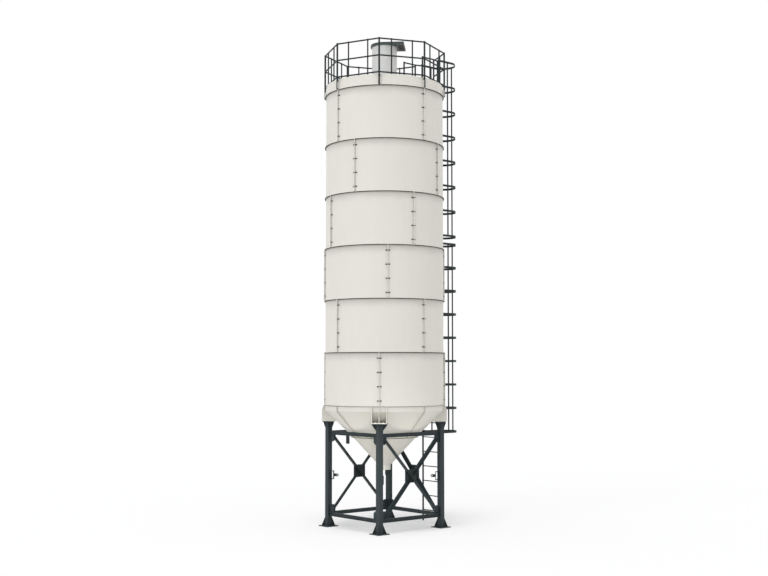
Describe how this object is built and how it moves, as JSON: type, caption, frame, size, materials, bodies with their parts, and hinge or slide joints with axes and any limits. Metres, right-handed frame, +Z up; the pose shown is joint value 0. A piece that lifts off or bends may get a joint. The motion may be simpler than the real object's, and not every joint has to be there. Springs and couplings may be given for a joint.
{
  "type": "cement silo",
  "caption": "Upright bolted cement silo with a cone hopper on braced legs, a caged ladder, a roof guard rail, a dust filter and a fill pipe.",
  "frame": {"origin": "on the silo's axis at ground level", "axes": "+Z up; +X towards the ladder; the legs stand between X and Y, and the side towards -X has no bracing"},
  "size_m": [4.2278, 3.4466, 13.1546],
  "materials": {
    "shell_paint": "cream paint, satin",
    "steel_paint": "dark slate paint, satin",
    "filter_paint": "light grey paint, satin",
    "hood_paint": "dark slate paint, satin",
    "pipe_paint": "dark slate paint, satin"
  },
  "bodies": {
    "root": {"ring_1": "shell_paint", "ring_2": "shell_paint", "ring_3": "shell_paint", "ring_4": "shell_paint", "ring_5": "shell_paint", "ring_6": "shell_paint", "hopper_upper": "shell_paint", "hopper_lower": "shell_paint", "outlet_collar": "shell_paint", "leg_saddles": "shell_paint", "roof_rim": "shell_paint", "roof_deck": "shell_paint", "leg_1": "steel_paint", "leg_2": "steel_paint", "leg_3": "steel_paint", "leg_4": "steel_paint", "upper_beams": "steel_paint", "lower_beams": "steel_paint", "brace_front": "steel_paint", "brace_ladder": "steel_paint", "brace_back": "steel_paint", "guardrail_1": "steel_paint", "guardrail_2": "steel_paint", "guardrail_3": "steel_paint", "guardrail_4": "steel_paint", "guardrail_5": "steel_paint", "guardrail_6": "steel_paint", "guardrail_7": "steel_paint", "guardrail_8": "steel_paint", "roof_handrails": "steel_paint", "ladder_lower": "steel_paint", "ladder_upper": "steel_paint", "ladder_clamps": "steel_paint", "cage_hoops_lower": "steel_paint", "cage_hoops_upper": "steel_paint", "cage_strips_lower": "steel_paint", "cage_strips_upper": "steel_paint", "filter_body": "filter_paint", "filter_hood": "hood_paint", "fill_pipe": "pipe_paint", "pipe_clamps": "pipe_paint"}
  },
  "joints": []
}
